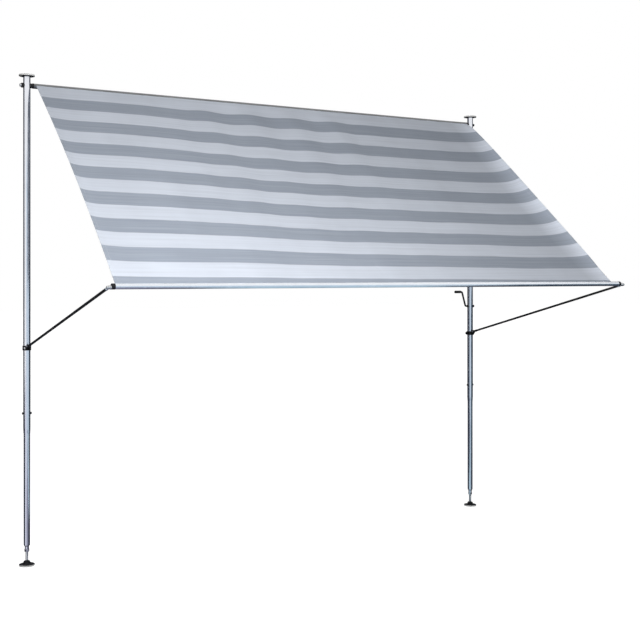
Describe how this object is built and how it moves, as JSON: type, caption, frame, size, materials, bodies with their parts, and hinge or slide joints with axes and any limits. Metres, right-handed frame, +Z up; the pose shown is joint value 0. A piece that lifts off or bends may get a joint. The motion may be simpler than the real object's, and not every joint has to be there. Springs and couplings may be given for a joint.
{
  "type": "fabric awning",
  "caption": "Clamp awning braced between floor and ceiling: telescoping posts, a crank-driven cloth roller, and a striped cloth held out by swinging arms and a drop bar.",
  "frame": {"origin": "on the floor, under the axis of the left post, at the middle of its sole", "axes": "+Z up, +X from the left post to the right post, and the cloth comes out towards -Y"},
  "size_m": [3.082, 1.4483, 2.65],
  "materials": {
    "steel_tube": "satin",
    "zinc": "satin",
    "dark_steel": "satin",
    "anodised_bar": "satin",
    "roller_grey": "satin",
    "black_plastic": "satin",
    "pad_rubber": "matte",
    "welt_pvc": "matte",
    "cord": "matte",
    "striped_cloth": "matte"
  },
  "bodies": {
    "frame": {"upper_tube_left": "steel_tube", "ceiling_plate_left": "black_plastic", "ceiling_pad_left": "pad_rubber", "arm_collar_left": "black_plastic", "fork_pin_left": "zinc", "upper_tube_right": "steel_tube", "ceiling_plate_right": "black_plastic", "ceiling_pad_right": "pad_rubber", "arm_collar_right": "black_plastic", "fork_pin_right": "zinc", "collar_screw_left": "zinc", "roller_bolt": "zinc", "roller_saddle_inner": "black_plastic", "roller_saddle_outer": "black_plastic", "shaft_bush_inner": "black_plastic", "shaft_bush_outer": "black_plastic", "crank_bush_inner": "black_plastic", "crank_bush_outer": "black_plastic", "drive_cord": "cord"},
    "roller": {"roller_tube": "roller_grey", "roller_plug_left": "black_plastic", "roller_plug_right": "black_plastic", "roller_shaft": "zinc", "roller_nut": "black_plastic", "roller_pulley": "black_plastic", "roller_welt": "welt_pvc"},
    "crank": {"crank_rod": "dark_steel", "crank_pulley": "black_plastic", "crank_nut": "black_plastic"},
    "crank_sleeve": {"crank_grip": "black_plastic"},
    "cloth": {"cloth": "striped_cloth"},
    "drop_bar": {"drop_bar": "anodised_bar", "bar_cap_left": "black_plastic", "bar_cap_right": "black_plastic", "bar_bolt_left": "zinc", "bar_bolt_right": "zinc", "bar_welt": "welt_pvc"},
    "collar_knob": {"collar_knob_right": "black_plastic"},
    "arm_left": {"arm_tube_left": "dark_steel", "arm_lower_eye_left": "dark_steel", "arm_upper_eye_left": "zinc"},
    "lower_post_left": {"lower_tube_left": "steel_tube", "guide_bush_left": "black_plastic"},
    "jack_nut_left": {"jack_nut_left": "zinc"},
    "spindle_left": {"jack_spindle_left": "zinc"},
    "foot_left": {"foot_plate_left": "black_plastic", "foot_sole_left": "pad_rubber"},
    "clamp_screw_left_a": {"clamp_screw_left_a": "dark_steel"},
    "clamp_screw_left_b": {"clamp_screw_left_b": "dark_steel"},
    "arm_right": {"arm_tube_right": "dark_steel", "arm_lower_eye_right": "dark_steel", "arm_upper_eye_right": "zinc"},
    "lower_post_right": {"lower_tube_right": "steel_tube", "guide_bush_right": "black_plastic"},
    "jack_nut_right": {"jack_nut_right": "zinc"},
    "spindle_right": {"jack_spindle_right": "zinc"},
    "foot_right": {"foot_plate_right": "black_plastic", "foot_sole_right": "pad_rubber"},
    "clamp_screw_right_a": {"clamp_screw_right_a": "dark_steel"},
    "clamp_screw_right_b": {"clamp_screw_right_b": "dark_steel"}
  },
  "joints": [
    {"name": "arm_swing", "type": "hinge", "parent": "frame", "child": "arm_left", "pos_m": [0, -0.036, 1.1865], "axis": [-1, 0, 0], "range_deg": [0, 75], "deforming": ["cloth"]},
    {"name": "arm_swing_right", "type": "hinge", "parent": "frame", "child": "arm_right", "pos_m": [3, -0.036, 1.1865], "axis": [-1, 0, 0], "range_deg": [0, 75]},
    {"name": "bar_turn", "type": "hinge", "parent": "arm_left", "child": "drop_bar", "pos_m": [0, -1.388, 1.515], "axis": [-1, 0, 0], "range_deg": [-38.7, 0]},
    {"name": "cloth_swing", "type": "hinge", "parent": "frame", "child": "cloth", "pos_m": [1.5, 0, 2.592], "axis": [-1, 0, 0], "range_deg": [0, 36.5]},
    {"name": "roller_spin", "type": "hinge", "parent": "frame", "child": "roller", "pos_m": [1.5, 0, 2.592], "axis": [-1, 0, 0], "range_deg": [0, 5400]},
    {"name": "crank_spin", "type": "hinge", "parent": "frame", "child": "crank", "pos_m": [3, 0, 1.358], "axis": [-1, 0, 0], "range_deg": [0, 5400]},
    {"name": "grip_spin", "type": "hinge", "parent": "crank", "child": "crank_sleeve", "pos_m": [2.93, 0.038, 1.454], "axis": [1, 0, 0], "continuous": true},
    {"name": "collar_knob_turn", "type": "hinge", "parent": "frame", "child": "collar_knob", "pos_m": [2.97, 0, 1.1745], "axis": [-1, 0, 0], "range_deg": [-720, 0]},
    {"name": "post_slide_left", "type": "slide", "parent": "frame", "child": "lower_post_left", "axis": [0, 0, -1], "range_m": [-0.18, 0.25]},
    {"name": "jack_nut_turn_left", "type": "hinge", "parent": "lower_post_left", "child": "jack_nut_left", "pos_m": [0, 0, 0.083], "axis": [0, 0, 1], "range_deg": [-3600, 5400]},
    {"name": "spindle_slide_left", "type": "slide", "parent": "lower_post_left", "child": "spindle_left", "axis": [0, 0, -1], "range_m": [-0.04, 0.06]},
    {"name": "foot_tilt_left", "type": "hinge", "parent": "spindle_left", "child": "foot_left", "pos_m": [0, 0, 0.015], "axis": [-1, 0, 0], "range_deg": [-6, 6]},
    {"name": "clamp_screw_turn_left_a", "type": "hinge", "parent": "frame", "child": "clamp_screw_left_a", "pos_m": [-0.025, 0, 0.822], "axis": [-1, 0, 0], "range_deg": [0, 720]},
    {"name": "clamp_screw_turn_left_b", "type": "hinge", "parent": "frame", "child": "clamp_screw_left_b", "pos_m": [0.025, 0, 0.822], "axis": [1, 0, 0], "range_deg": [0, 720]},
    {"name": "post_slide_right", "type": "slide", "parent": "frame", "child": "lower_post_right", "axis": [0, 0, -1], "range_m": [-0.18, 0.25]},
    {"name": "jack_nut_turn_right", "type": "hinge", "parent": "lower_post_right", "child": "jack_nut_right", "pos_m": [3, 0, 0.083], "axis": [0, 0, 1], "range_deg": [-3600, 5400]},
    {"name": "spindle_slide_right", "type": "slide", "parent": "lower_post_right", "child": "spindle_right", "axis": [0, 0, -1], "range_m": [-0.04, 0.06]},
    {"name": "foot_tilt_right", "type": "hinge", "parent": "spindle_right", "child": "foot_right", "pos_m": [3, 0, 0.015], "axis": [-1, 0, 0], "range_deg": [-6, 6]},
    {"name": "clamp_screw_turn_right_a", "type": "hinge", "parent": "frame", "child": "clamp_screw_right_a", "pos_m": [2.975, 0, 0.822], "axis": [-1, 0, 0], "range_deg": [0, 720]},
    {"name": "clamp_screw_turn_right_b", "type": "hinge", "parent": "frame", "child": "clamp_screw_right_b", "pos_m": [3.025, 0, 0.822], "axis": [1, 0, 0], "range_deg": [0, 720]}
  ],
  "couplings": [
    {"joint": "arm_swing_right", "follows": "arm_swing", "ratio": 1},
    {"joint": "bar_turn", "follows": "arm_swing", "ratio": -0.515},
    {"joint": "cloth_swing", "follows": "arm_swing", "ratio": 0.485},
    {"joint": "roller_spin", "follows": "arm_swing", "ratio": 72},
    {"joint": "crank_spin", "follows": "arm_swing", "ratio": 72},
    {"joint": "jack_nut_turn_left", "follows": "spindle_slide_left", "rad_per_m": 1570.8},
    {"joint": "jack_nut_turn_right", "follows": "spindle_slide_right", "rad_per_m": 1570.8}
  ]
}
